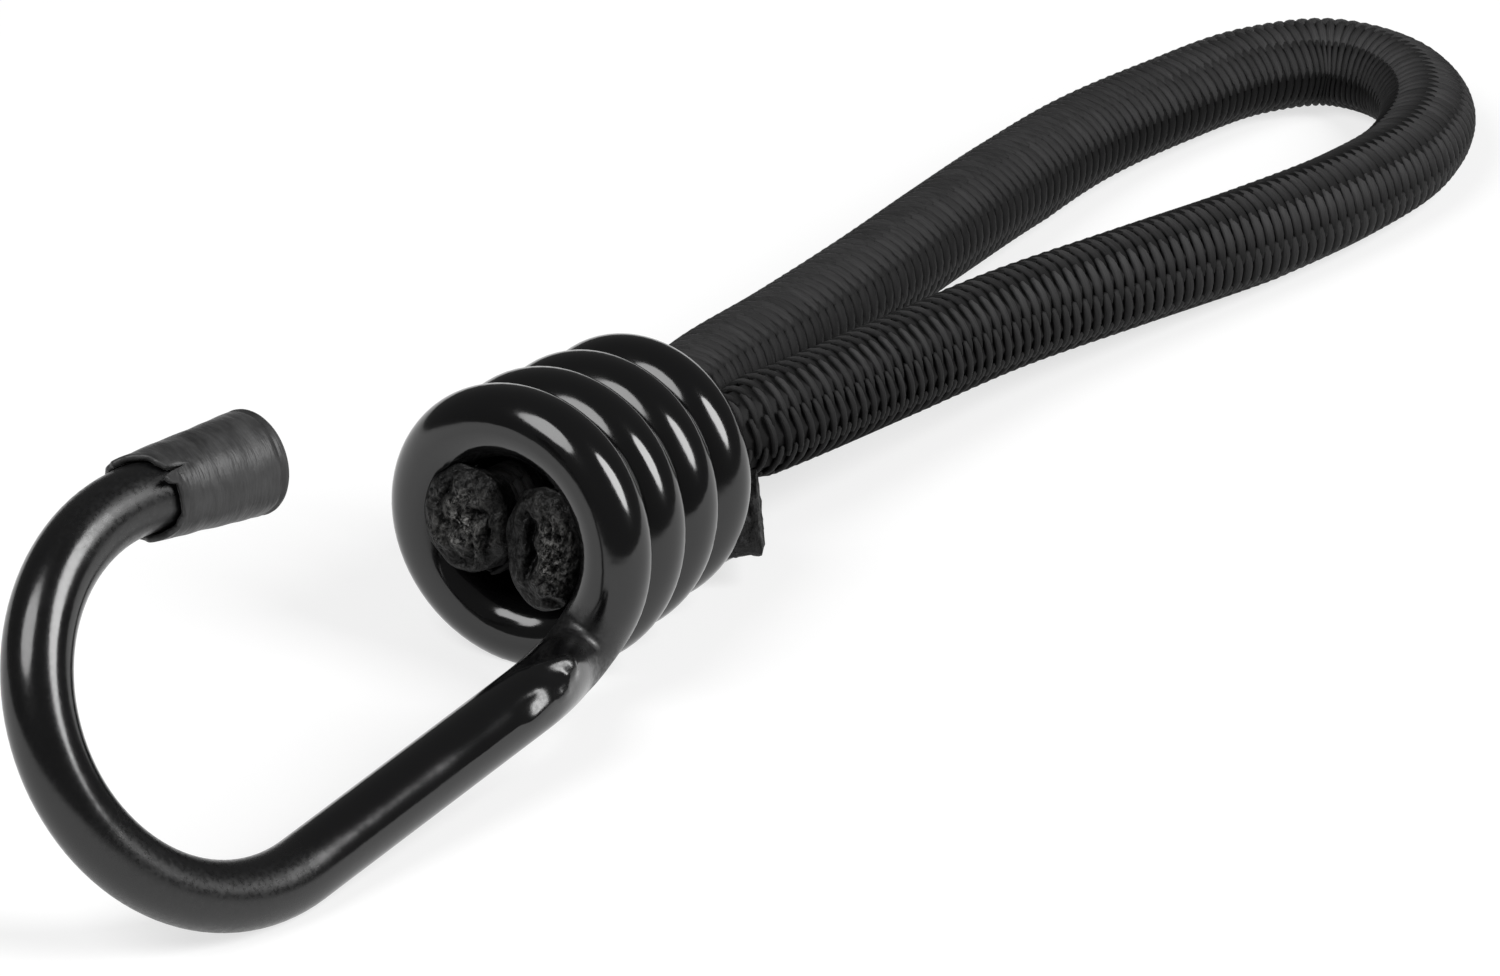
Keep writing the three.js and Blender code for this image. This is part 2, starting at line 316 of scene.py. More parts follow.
def new_tree(name, inputs):
    """An empty node tree with named inputs and one geometry output, and ways to add nodes."""
    tree = bpy.data.node_groups.new(name, "GeometryNodeTree")
    for label, kind in inputs.items():
        tree.interface.new_socket(label, in_out="INPUT", socket_type="NodeSocket" + kind)
    tree.interface.new_socket("Geometry", in_out="OUTPUT", socket_type="NodeSocketGeometry")
    return tree, *node_maker(tree)


def braid_tree():
    """Lays a yarn float, bent to the cord's round, on every point of a sleeve that carries one."""
    tree, add, maths = new_tree("braid_ribs", {
        "Sleeve": "Geometry", "Rib reach": "Float", "Rib width": "Float", "Rib height": "Float",
        "Cord radius": "Float", "Tone seed": "Int", "Yarn": "Material",
    })
    given = add("NodeGroupInput").outputs

    def read(label, kind):
        named = add("GeometryNodeInputNamedAttribute", {"Name": label}, data_type=kind)
        return named.outputs["Attribute"]

    def times(a, b):
        return maths("MULTIPLY", a, b)

    ball = add("GeometryNodeMeshUVSphere", {"Segments": 10, "Rings": 7, "Radius": 1.0})
    lying = add("GeometryNodeTransform", {
        "Geometry": ball.outputs[0], "Rotation": (0, math.pi / 2, 0),
    })
    place = add("GeometryNodeInputPosition").outputs[0]
    marked = add(
        "GeometryNodeStoreNamedAttribute",
        {"Geometry": lying.outputs[0], "Name": "yarn", "Value": place},
        data_type="FLOAT_VECTOR", domain="POINT",
    )
    at = add("ShaderNodeSeparateXYZ", {0: place}).outputs
    angle = maths("DIVIDE", times(at[0], given["Rib reach"]), given["Cord radius"])
    taper = maths("MAXIMUM", maths("SUBTRACT", 1.0, times(at[0], at[0])), 0.01)
    full = maths("POWER", taper, -0.25)
    height = times(times(at[2], full), given["Rib height"])
    radius = maths("ADD", given["Cord radius"], height)
    bent = add("ShaderNodeCombineXYZ", {
        0: times(radius, maths("SINE", angle)),
        1: times(times(at[1], full), given["Rib width"]),
        2: maths("SUBTRACT", times(radius, maths("COSINE", angle)), given["Cord radius"]),
    })
    rib = add("GeometryNodeSetPosition", {
        "Geometry": marked.outputs[0], "Position": bent.outputs[0],
    })
    stand = add(
        "FunctionNodeAlignRotationToVector", {"Vector": read("out", "FLOAT_VECTOR")}, axis="Z",
    )
    follow = add(
        "FunctionNodeAlignRotationToVector",
        {"Rotation": stand.outputs[0], "Vector": read("way", "FLOAT_VECTOR")},
        axis="Y", pivot_axis="Z",
    )
    tip = add("FunctionNodeAxisAngleToRotation", {
        "Axis": (0, 0, 1), "Angle": read("lean", "FLOAT"),
    })
    leaned = add(
        "FunctionNodeRotateRotation",
        {"Rotation": follow.outputs[0], "Rotate By": tip.outputs[0]},
        rotation_space="LOCAL",
    )
    laid = add("GeometryNodeInstanceOnPoints", {
        "Points": given["Sleeve"], "Selection": read("carries", "BOOLEAN"),
        "Instance": rib.outputs[0], "Rotation": leaned.outputs[0],
        "Scale": read("rib_scale", "FLOAT_VECTOR"),
    })
    tone = add("FunctionNodeRandomValue", {"Seed": given["Tone seed"]}, data_type="FLOAT")
    toned = add(
        "GeometryNodeStoreNamedAttribute",
        {"Geometry": laid.outputs[0], "Name": "tone", "Value": tone.outputs["Value"]},
        data_type="FLOAT", domain="INSTANCE",
    )
    real = add("GeometryNodeRealizeInstances", {"Geometry": toned.outputs[0]})
    joined = add("GeometryNodeJoinGeometry")
    tree.links.new(given["Sleeve"], joined.inputs[0])
    tree.links.new(real.outputs[0], joined.inputs[0])
    smooth = add("GeometryNodeSetShadeSmooth", {"Geometry": joined.outputs[0]})
    dressed = add("GeometryNodeSetMaterial", {
        "Geometry": smooth.outputs[0], "Material": given["Yarn"],
    })
    add("NodeGroupOutput", {"Geometry": dressed.outputs[0]})
    return tree


def grown(name, start, tree, inputs, keep=()):
    """A plain mesh piece: the tree's result on the start mesh.

    Only the values that its material reads are kept on its points.
    """
    piece = bpy.data.objects.new(name, start)
    scene.collection.objects.link(piece)
    growth = piece.modifiers.new("growth", "NODES")
    growth.node_group = tree
    for item in tree.interface.items_tree:
        if item.in_out == "INPUT" and item.name in inputs:
            growth[item.identifier] = inputs[item.name]
    graph = bpy.context.evaluated_depsgraph_get()
    mesh = bpy.data.meshes.new_from_object(piece.evaluated_get(graph))
    piece.modifiers.clear()
    piece.data = mesh
    finish = [slot for slot in mesh.materials if slot][-1]
    mesh.materials.clear()
    mesh.materials.append(finish)
    for label in [a.name for a in mesh.attributes if not (a.is_internal or a.is_required)]:
        if label not in (*keep, "sharp_face", "UVMap"):
            mesh.attributes.remove(mesh.attributes[label])
    return piece


def new_finish(name, **sockets):
    """A material with its shader's fixed sockets set, and ways to add nodes and join them."""
    finish = bpy.data.materials.new(name)
    finish.use_nodes = True
    tree = finish.node_tree
    shader = tree.nodes["Principled BSDF"]
    for label, value in sockets.items():
        shader.inputs[label.replace("_", " ")].default_value = value

    def join(value, socket):
        tree.links.new(value, shader.inputs[socket])

    return finish, *node_maker(tree), join


def yarn_finish():
    """Dull black yarn, with painted shade between the floats and round the cord, and a painted highlight on
    the raised end of each float with painted shade on its other end.
    """
    finish, add, maths, join = new_finish("braid_yarn", Specular_IOR_Level=0.12)

    def read(label, output="Fac"):
        return add("ShaderNodeAttribute", attribute_name=label).outputs[output]

    yarn, tone = read("yarn", "Vector"), read("tone")
    shift = maths("MULTIPLY", tone, 60.0)
    moved = add("ShaderNodeVectorMath", {0: yarn, 1: shift}, operation="ADD")
    stretched = add("ShaderNodeMapping", {"Vector": moved.outputs[0], "Scale": (1.1, 5.0, 3.0)})
    fibres = add("ShaderNodeTexNoise", {
        "Vector": stretched.outputs[0], "Scale": 1.0, "Detail": 3.0, "Roughness": 0.6,
    }).outputs["Fac"]
    part = add("ShaderNodeSeparateXYZ", {0: yarn}).outputs
    # Painted shade: each float darker from its crown down its sides, and the sleeve between the floats as
    # dark as their sides.
    gap_shade = add("ShaderNodeMapRange", {
        "Value": part[2], "From Min": -0.1, "From Max": 0.95, "To Min": 0.55, "To Max": 1.0,
    }, interpolation_type="SMOOTHSTEP").outputs[0]
    # Painted highlight on one end of each float and painted shade on the other, scaled for each strand.
    raised = add("ShaderNodeMapRange", {
        "Value": part[0], "From Min": -0.75, "From Max": 0.75, "To Min": 0.7, "To Max": -0.65,
    }).outputs[0]
    tucked = maths("MULTIPLY_ADD", raised, read("end_highlight"), 1.0)
    lot = add("ShaderNodeMapRange", {"Value": tone, "To Min": 0.5, "To Max": 0.69}).outputs[0]
    shade = maths("MULTIPLY", maths("MULTIPLY", gap_shade, tucked), lot)
    strand = add("ShaderNodeMapRange", {
        "Value": fibres, "From Min": 0.3, "From Max": 0.7, "To Min": 0.7, "To Max": 1.25,
    }).outputs[0]
    # The painted shade round the cord scales the colour level.
    level = maths("MULTIPLY", maths("MULTIPLY", shade, strand), read("dye_and_shade"))
    dye_and_shade = add("ShaderNodeValToRGB", {"Fac": level})
    dye_and_shade.color_ramp.elements[0].color = (0.003, 0.003, 0.0031, 1)
    dye_and_shade.color_ramp.elements[1].color = (0.056, 0.0553, 0.056, 1)
    join(dye_and_shade.outputs["Color"], "Base Color")
    dull = add("ShaderNodeMapRange", {"Value": fibres, "To Min": 0.5, "To Max": 0.7})
    join(dull.outputs[0], "Roughness")
    grain = add("ShaderNodeBump", {"Height": fibres, "Strength": 0.5, "Distance": 0.00012})
    join(grain.outputs["Normal"], "Normal")
    return finish


braid_ribs = braid_tree()
braid_yarn = yarn_finish()


def braided(name, first_rib, last_rib, tone_seed):
    """A length of the cord's braid from one rib to another."""
    sleeve = braid_start(name.replace("braid", "sleeve"), first_rib, last_rib)
    return grown(name, sleeve, braid_ribs, {
        **rib_sizes, "Cord radius": cord_radius * MM, "Tone seed": tone_seed, "Yarn": braid_yarn,
    }, keep=("yarn", "tone", "dye_and_shade", "end_highlight"))


loop = braided("loop_braid", flex_ribs, free_ribs - flex_ribs, tone_seed=11)
stretch_from = (0.043, 0, 0.0075)
stretch_to = (0.102, 0, 0.0075)
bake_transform(loop, "strands", "loop_end", start=stretch_from, end=stretch_to)
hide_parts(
    "stretch_near_sheath", "stretch_near_rubber", "bight_sheath", "bight_rubber",
    "stretch_far_sheath", "stretch_far_rubber",
)


# Flexing lengths: the same cord where it swings up and down behind the coil, one on each side.
# They swell from the squeezed oval in the coil's last turn to the cord's full round.
flex_from = tuple(in_coil(cord_exit_x, 0, 0) * MM)
flex_to = (0.043, 0, 0.0075)
for side, first_rib in (("near", 0), ("far", free_ribs - flex_ribs)):
    length = braided(
        "flex_braid_" + side, first_rib, first_rib + flex_ribs, tone_seed=23 + first_rib,
    )
    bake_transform(length, "hook", "strands", start=flex_from, end=flex_to)
    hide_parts(f"flex_{side}_sheath", f"flex_{side}_rubber")
loop_path = [
    tuple(cord_section(rib_place(rib))[0] * MM)
    for rib in range(flex_ribs, free_ribs - flex_ribs + 1)
]


# Held lengths: the two cord ends, squeezed to ovals side by side in the wound coil.
# The coil grips the braid, which shows only in the mouth and between the turns.
near_end_x = -0.6
far_end_x = 0.8
for side, end_x in (("near", near_end_x), ("far", far_end_x)):
    held_ribs = int((cord_exit_x - end_x) / flex_pitch)
    first_rib = -held_ribs if side == "near" else free_ribs
    length = braided(
        "held_braid_" + side, first_rib, first_rib + held_ribs, tone_seed=37 + held_ribs,
    )
    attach(length, "hook")
    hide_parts("held_sheath_" + side)


# Cut cord ends: rubber threads in the crumpled edge of the braid, swollen where the coil lets go.
# The far end is a swirl of folds that spreads over the first turn, the near one a tall oval split
# by a crease. Each is a plug that the coil grips a little way in.
cut_rings, cut_spokes = 60, 150
cut_bulge = 0.9
cut_waver = 0.07
far_spill = 0.8
plug_length = 4
plug_size = 0.85
proud_above = -0.35
# Pale paint on the face's raised crests: pale frayed threads, and painted highlight standing in for their
# glints.
plain_fray_and_highlight, most_fray_and_highlight, fray_spread = 0.22, 1.3, 0.16


def uneven(x, y, z):
    """Smooth unevenness, from about -1 to 1."""
    return noise.noise(Vector((x, y, z)))


def ridges(u, v, z, scale, octaves):
    """Sharp creases in several sizes, from 0 in the creases to about 1."""
    total, share = 0, 1
    for octave in range(octaves):
        total += share * (1 - abs(2 * uneven(u * scale, v * scale, z + octave)))
        scale, share = scale * 2.1, share * 0.5
    return total / 2


def swirled(u, v, r, a):
    """Folds that wind round a tuft of threads in the middle."""
    fold_height, tuft_height, crumple_height, sunk = 0.75, 0.55, 0.75, 0.7
    warp = uneven(u * 1.8, v * 1.8, 4.2)
    folds = fold_height * abs(math.sin(1.5 * a + 4.5 * r + 2.2 * warp)) * min(1, 2.5 * r)
    in_tuft = math.exp(-((u - 0.1) ** 2 + (v - 0.05) ** 2) / 0.1)
    tuft = tuft_height * in_tuft * ridges(u, v, 2.3, 7, 3)
    return folds + tuft + crumple_height * ridges(u + 0.3 * warp, v, 1.7, 2.8, 4) - sunk


def split(u, v, r, a):
    """A bent crease down the middle, threads beside it, and folds above and below."""
    crease_depth, thread_height, fold_height, crumple_height, sunk = 0.75, 0.9, 0.8, 0.6, 0.6
    bend = 0.25 + 0.3 * v * v + 0.1 * uneven(1.4, v * 4, 2.2)
    crease = -crease_depth * math.exp(-(((u + bend) / 0.1) ** 2)) * max(0, 1 - v * v / 0.5)
    threads = thread_height * ridges(u, v * 1.4, 5.1, 5, 3)
    threads = threads * clamp(4 * (u + 0.1)) * max(0, 1 - v * v / 0.6)
    wave = abs(math.sin(7 * math.hypot(u * 0.8, v) + 1.6 * uneven(u * 2, v * 2, 6.4)))
    folds = fold_height * wave * max(0, abs(v) - 0.15) / 0.85
    return crease + threads + folds + crumple_height * ridges(u, v * 1.5, 3.3, 2.2, 4) - sunk


def cut_start(name, end_x, side, wide, tall, off, up, crumple, fray):
    """A plug with a crumpled face, and how proud and frayed the face is at each point."""
    points, prouds = [], []
    for ring in range(cut_rings + 1):
        r = ring / cut_rings
        for spoke in range(cut_spokes):
            a = math.tau * spoke / cut_spokes
            u, v = r * math.cos(a), r * math.sin(a)
            edge = 1 + cut_waver * uneven(math.cos(a) * 2, math.sin(a) * 2, side)
            fold = crumple(u, v, r, a)
            rise = cut_bulge * (1 - r**4) + fold * (1 - r**8)
            frayed = math.exp(-((u - fray) ** 2 + (v * 0.8) ** 2) / fray_spread)
            # How pale the raised crests are painted: frayed threads and painted highlight.
            proud = max(0, fold - proud_above) * (plain_fray_and_highlight + most_fray_and_highlight * frayed)
            prouds.append(proud * (1 - r**6))
            points.append(in_coil(
                end_x - rise, side * off + u * wide * edge, up + v * tall * edge,
            ) * MM)
    held_wide, held_tall, held_off = squeezed(end_x + plug_length)
    for spoke in range(cut_spokes):
        a = math.tau * spoke / cut_spokes
        points.append(in_coil(
            end_x + plug_length,
            side * held_off + math.cos(a) * held_wide * plug_size,
            math.sin(a) * held_tall * plug_size,
        ) * MM)
        prouds.append(0)
    faces = tube_faces(points, cut_spokes)
    faces.append(tuple(range(len(points) - cut_spokes, len(points))))
    mesh = bpy.data.meshes.new(name)
    mesh.from_pydata(points, [], faces)
    mark(mesh, "proud", prouds)
    return mesh


def rubber_finish():
    """Near-black rubber, with pale fibres where the face is proud and frayed; the pale raised crests are
    partly pale frayed threads and partly painted highlight.
    """
    finish, add, maths, join = new_finish("cut_rubber", Specular_IOR_Level=0.18)
    place = add("ShaderNodeTexCoord").outputs["Object"]
    lumps = add("ShaderNodeTexNoise", {
        "Vector": place, "Scale": 900.0, "Detail": 4.0, "Roughness": 0.65,
    }).outputs["Fac"]
    fibres = add("ShaderNodeTexNoise", {
        "Vector": place, "Scale": 1600.0, "Detail": 3.0, "Roughness": 0.7, "Distortion": 1.2,
    }).outputs["Fac"]
    level = add("ShaderNodeMapRange", {"Value": fibres, "From Min": 0.42, "From Max": 0.72})
    proud = add("ShaderNodeAttribute", attribute_name="proud")
    # Pale frayed threads and painted highlight on the raised crests.
    fray_and_highlight = maths("MULTIPLY", level.outputs[0], proud.outputs["Fac"])
    tint = add("ShaderNodeValToRGB", {"Fac": fray_and_highlight})
    tint.color_ramp.elements[0].color = (0.0015, 0.0015, 0.0015, 1)
    tint.color_ramp.elements[1].position = 0.8
    tint.color_ramp.elements[1].color = (0.3, 0.295, 0.285, 1)
    join(tint.outputs["Color"], "Base Color")
    dull = add("ShaderNodeMapRange", {"Value": lumps, "To Min": 0.2, "To Max": 0.55})
    join(dull.outputs[0], "Roughness")
    rough = add("ShaderNodeBump", {"Height": lumps, "Strength": 0.8, "Distance": 0.0004})
    join(rough.outputs["Normal"], "Normal")
    return finish


def placed(name, mesh, finish, smooth=True):
    """A piece in the scene, one mesh in one finish."""
    piece = bpy.data.objects.new(name, mesh)
    scene.collection.objects.link(piece)
    mesh.materials.append(finish)
    for face in mesh.polygons:
        face.use_smooth = smooth
    return piece


cut_rubber = rubber_finish()
# Place along the coil, side, half width, half height, distance off the middle, rise, folds, fray.
for side, *cut in (
    ("near", near_end_x, 1, 3.4, 5.2, 3.4, 0.4, split, 0.3),
    ("far", far_end_x - far_spill, -1, 3.9, 4.4, 3.9, 0.9, swirled, 0),
):
    name = "cut_end_" + side
    end = placed(name, cut_start(name, *cut), cut_rubber)
    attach(end, "hook")
    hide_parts("held_rubber_" + side)


# Hook: one length of steel wire under a glossy black dip coat, the coil wound as a cone.
# The first of its touching turns drops into a tight joggle, a straight leg and an open hook, and
# the last ends in a short tail. Jaws have marked the leg, and use has dulled spots on the bend.
hook_start = math.radians(28)
coil_first = math.radians(-25)
coil_last = math.radians(1378)
coil_sweep = coil_last - coil_first
coil_steps = 300
coil_coat = 0.1
coat_fade = 20  # points of the line over which the coil's thicker coat begins and ends
hook_lean = math.radians(15.6)
drop_length = 2.1
joggle_radius = 7.8
joggle_turn = math.radians(77)
leg_length = 33.9
marked_length = 5
hook_radius = 15.4
hook_turn = math.radians(194)
tip_length = 11.8
pinch_inside = 0.65
pinch_reach = 8
pinch_ease = 0.9
aim_passes = 6
pinch_steps, ease_steps, marked_steps, leg_steps, bend_steps, tip_steps = 30, 24, 20, 14, 60, 8
tail_length = 5.2
tail_lift = 1.2
tail_on, tail_aside = 0.5, 0.6  # shares of the tail that go on round the coil and out to the side
tail_pulls = (0.35, 0.45)
tail_steps = 12
hidden_points = 2  # at each end of the line, in the cap and in the snipped end
wire_sides = 64


def helix(angle):
    """A point on the coil's line and the way on there."""
    r = turn_radius(angle)
    out = coil_near * math.cos(angle) + coil_up * math.sin(angle)
    way = (
        (coil_up * math.cos(angle) - coil_near * math.sin(angle)) * r
        + coil_along * (coil_pitch / math.tau)
        - out * (coil_taper / math.tau)
    ).normalized()
    return in_coil(coil_pitch * angle / math.tau, r * math.cos(angle), r * math.sin(angle)), way


def bezier(a, b, c, d, t):
    """A point on the curve from a to d, drawn towards b and c."""
    return a * (1 - t) ** 3 + b * (3 * t * (1 - t) ** 2) + c * (3 * t * t * (1 - t)) + d * t**3


def hook_line():
    """Points from the coil to the tip, the tip's way on, and the leg's start and way on."""
    point, way = helix(hook_start)
    way = -way
    normal = -way.cross(coil_along).normalized()
    normal.rotate(Matrix.Rotation(hook_lean, 3, way))
    line = []

    def straight(length, steps):
        nonlocal point
        begin = point.copy()
        for i in range(1, steps + 1):
            point = begin + way * (length * i / steps)
            line.append(point)

    def bend(radius, turn, steps):
        nonlocal point, way
        centre = point + normal.cross(way) * radius
        arm, begin = point - centre, way.copy()
        for i in range(1, steps + 1):
            swing = Matrix.Rotation(turn * i / steps, 3, normal)
            point, way = centre + swing @ arm, swing @ begin
            line.append(point)

    straight(drop_length, 1)
    bend(joggle_radius, joggle_turn, 1)
    leg_start, leg_way = point.copy(), way.copy()
    reach = leg_start + leg_way * pinch_reach
    leave, back = helix(coil_first)
    pinch_radius = wire_radius + pinch_inside
    heading = (reach - leave + back * pinch_radius).normalized()
    for _ in range(aim_passes):
        axis = heading.cross(back).normalized()
        turn = heading.angle(-back)
        centre = leave + back.cross(axis) * pinch_radius
        line = [
            centre + Matrix.Rotation(turn * i / pinch_steps, 3, axis) @ (leave - centre)
            for i in range(1, pinch_steps + 1)
        ]
        heading = (reach - line[-1]).normalized()
    ease_from = line[-1]
    pull = (reach - ease_from).length * pinch_ease / 3
    eased = (ease_from, ease_from + heading * pull, reach - leg_way * pull, reach)
    line.extend(bezier(*eased, i / ease_steps) for i in range(1, ease_steps + 1))
    point = reach
    straight(marked_length, marked_steps)
    straight(leg_length - pinch_reach - marked_length, leg_steps)
    bend(hook_radius, hook_turn, bend_steps)
    straight(tip_length, tip_steps)
    return line, way, leg_start, leg_way


tip_line, tip_way, leg_start, leg_way = hook_line()
coil_line = [
    helix(coil_first + coil_sweep * i / coil_steps)[0] for i in range(coil_steps + 1)
]
tail_point, tail_leave = helix(coil_last)
tail_way = Vector((0.5, -0.86, 0.1)).normalized()
tail_end = tail_point + tail_leave * (tail_length * tail_on)
tail_end = tail_end + tail_way * (tail_length * tail_aside) + coil_up * tail_lift
tail_bow = (
    tail_point,
    tail_point + tail_leave * (tail_length * tail_pulls[0]),
    tail_end - tail_way * (tail_length * tail_pulls[1]),
    tail_end,
)
tail_line = [bezier(*tail_bow, i / tail_steps) for i in range(1, tail_steps + 1)]
wire_line = [*reversed(tip_line[:-hidden_points]), *coil_line, *tail_line[:-hidden_points]]
wire_start = bpy.data.meshes.new("wire_line")
wire_start.from_pydata(
    [p * MM for p in wire_line], [(i, i + 1) for i in range(len(wire_line) - 1)], [],
)
mark(wire_start, "coat", [
    (wire_radius + coil_coat * clamp(min(i - len(tip_line), len(wire_line) - i) / coat_fade)) * MM
    for i in range(len(wire_line))
])


def wire_tree():
    """A round wire along a line, as thick as its coat at each point and flat on the floor."""
    tree, add, maths = new_tree("coated_wire", {
        "Line": "Geometry", "Sides": "Int", "Coat": "Material",
    })
    given = add("NodeGroupInput").outputs
    line = add("GeometryNodeMeshToCurve", {"Mesh": given["Line"]})
    coat = add("GeometryNodeInputNamedAttribute", {"Name": "coat"}, data_type="FLOAT")
    ring = add("GeometryNodeCurvePrimitiveCircle", {"Resolution": given["Sides"], "Radius": 1.0})
    tube = add("GeometryNodeCurveToMesh", {
        "Curve": line.outputs[0], "Profile Curve": ring.outputs[0],
        "Scale": coat.outputs["Attribute"], "Fill Caps": True,
    })
    at = add("ShaderNodeSeparateXYZ", {0: add("GeometryNodeInputPosition").outputs[0]}).outputs
    on_floor = add("ShaderNodeCombineXYZ", {
        0: at[0], 1: at[1], 2: maths("MAXIMUM", at[2], 0.0),
    })
    standing = add("GeometryNodeSetPosition", {
        "Geometry": tube.outputs[0], "Position": on_floor.outputs[0],
    })
    real = add("GeometryNodeRealizeInstances", {"Geometry": standing.outputs[0]})
    smooth = add("GeometryNodeSetShadeSmooth", {"Geometry": real.outputs[0]})
    dressed = add("GeometryNodeSetMaterial", {
        "Geometry": smooth.outputs[0], "Material": given["Coat"],
    })
    add("NodeGroupOutput", {"Geometry": dressed.outputs[0]})
    return tree


def coat_finish():
    """Glossy black dip coat with a faint orange peel, rubbed dull where it is scuffed."""
    finish, add, maths, join = new_finish(
        "dip_coat", Base_Color=(0.004, 0.004, 0.0042, 1), IOR=1.58,
    )
    place = add("ShaderNodeTexCoord").outputs["Object"]
    cloud = add("ShaderNodeTexNoise", {
        "Vector": place, "Scale": 130.0, "Detail": 3.0, "Roughness": 0.6,
    }).outputs["Fac"]
    gloss = add("ShaderNodeMapRange", {
        "Value": cloud, "From Min": 0.3, "From Max": 0.7, "To Min": 0.08, "To Max": 0.17,
    }).outputs[0]
    grit = add("ShaderNodeTexNoise", {
        "Vector": place, "Scale": 2600.0, "Detail": 2.0, "Roughness": 0.6,
    }).outputs["Fac"]
    rubbed = add("ShaderNodeMapRange", {
        "Value": grit, "From Min": 0.35, "From Max": 0.65, "To Min": 0.25, "To Max": 0.5,
    }).outputs[0]
    scuff = add("ShaderNodeAttribute", attribute_name="scuff").outputs["Fac"]
    join(maths("MULTIPLY_ADD", scuff, rubbed, gloss), "Roughness")
    peel = add("ShaderNodeTexNoise", {
        "Vector": place, "Scale": 420.0, "Detail": 2.0, "Roughness": 0.5,
    }).outputs["Fac"]
    skin = add("ShaderNodeBump", {"Height": peel, "Strength": 0.12, "Distance": 0.0002})
    join(skin.outputs["Normal"], "Normal")
    return finish


wire = grown("hook_wire", wire_start, wire_tree(), {"Sides": wire_sides, "Coat": coat_finish()})
pinch_middle, pinch_spread = 22, 4.2
smoothing_passes, smoothing_share = 30, 0.5
marks_from, marks_to, marks_round = -1, 13, 1.3
# Distance along the leg, angle round it from the camera, half length, half width, depth and tilt.
jaw_marks = (
    (8.8, -0.27, 1.7, 0.8, 0.1, 0.15), (6.1, -0.4, 1.0, 0.6, 0.16, 0.15),
    (4.6, 0.42, 1.8, 0.9, 0.12, 0.17), (3.9, 0.1, 0.9, 1.4, 0.2, 0.16),
)
jaw_wear = 0.5
# Point on the hook's line, reach in mm and wear.
worn_spots = ((100, 12, 0.5), (122, 20, 0.16), (146, 9, 0.6))
facing_us = (-view_away + leg_way * view_away.dot(leg_way)).normalized()
beside_leg = leg_way.cross(facing_us)
shape = np.array([vertex.co for vertex in wire.data.vertices]) / MM
links = np.array([edge.vertices[:] for edge in wire.data.edges])


def wear_near(spot, reach):
    """Wear round a point of the hook's line, from 1 at the point to 0."""
    apart = np.linalg.norm(shape - np.array(tip_line[spot]), axis=1)
    return np.exp(-((apart / reach) ** 4))


scuffs = wear_near(pinch_middle, pinch_spread)
neighbours = np.bincount(links.ravel(), minlength=len(shape))[:, None]
for _ in range(smoothing_passes):
    pulled = np.zeros_like(shape)
    np.add.at(pulled, links[:, 0], shape[links[:, 1]])
    np.add.at(pulled, links[:, 1], shape[links[:, 0]])
    shape += (pulled / neighbours - shape) * smoothing_share * scuffs[:, None]
off = shape - np.array(leg_start)
along, across, out = (off @ np.array(axis) for axis in (leg_way, beside_leg, facing_us))
turn = np.arctan2(across, out)
on_leg = (along > marks_from) & (along < marks_to)
on_leg &= (abs(turn) < marks_round) & (np.hypot(across, out) < 2 * wire_radius)
for middle, around, length, width, depth, tilt in jaw_marks:
    lengthwise = abs((along - middle) / length) ** 3
    crosswise = abs(wire_radius * (turn - around) / width) ** 3
    reach = np.exp(-lengthwise - crosswise) * on_leg
    slope = facing_us * math.cos(tilt) + leg_way * math.sin(tilt)
    seat = facing_us * math.cos(around) + beside_leg * math.sin(around)
    seat = seat * (wire_radius - depth) + leg_way * middle
    shape -= np.outer(((shape - np.array(leg_start + seat)) @ np.array(slope)) * reach, slope)
    scuffs = np.maximum(scuffs, jaw_wear * reach)
for spot, reach, wear in worn_spots:
    scuffs = np.maximum(scuffs, wear * wear_near(spot, reach))
wire.data.vertices.foreach_set("co", (shape * MM).ravel())
mark(wire.data, "scuff", scuffs)
wire.data.update()
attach(wire, "hook")
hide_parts("hook_coating")


# Tail end: where the wire was snipped, the coat is stripped and the steel is dark and rough.
# The cutter's jaws leave it squarish, with a ragged flat face.
snip_length = 3.2
snip_radius = 2.86
snip_spokes = 48
face_rings, side_rings = 5, 14
face_size, root_size = 0.92, 0.8
squareness = 5
chip_depth = 0.05
face_ragged, side_ragged = 0.2, 0.1
face_bevel, root_taper = 0.1, 0.4


def snip_start():
    """A short squarish stub on the tail's end, from the middle of its face back into the wire."""
    side = tail_way.cross(Vector((0, 0, 1))).normalized()
    flat = side.cross(tail_way).normalized()
    points = []

    def ring(radius, back, ragged):
        for spoke in range(snip_spokes):
            a = math.tau * spoke / snip_spokes
            c, n = math.cos(a), math.sin(a)
            square = (abs(c) ** squareness + abs(n) ** squareness) ** (-1 / squareness)
            chips = uneven(2.2 * c, 2.2 * n, back * 1.6) + 0.6 * uneven(6 * c, 6 * n, back * 4)
            r = radius * square * (1 + chip_depth * chips)
            rim = tail_end + (side * c + flat * n) * r
            points.append((rim - tail_way * (back + ragged * chips)) * MM)

    for i in range(1, face_rings + 1):
        ring(snip_radius * face_size * i / face_rings, 0, face_ragged)
    for i in range(side_rings + 1):
        ring(snip_radius, face_bevel + snip_length * i / side_rings, side_ragged)
    ring(snip_radius * root_size, snip_length + root_taper, 0)
    faces = tube_faces(points, snip_spokes)
    faces.append(tuple(range(snip_spokes)))
    faces.append(tuple(reversed(range(len(points) - snip_spokes, len(points)))))
    mesh = bpy.data.meshes.new("snipped_end")
    mesh.from_pydata(points, [], faces)
    return mesh


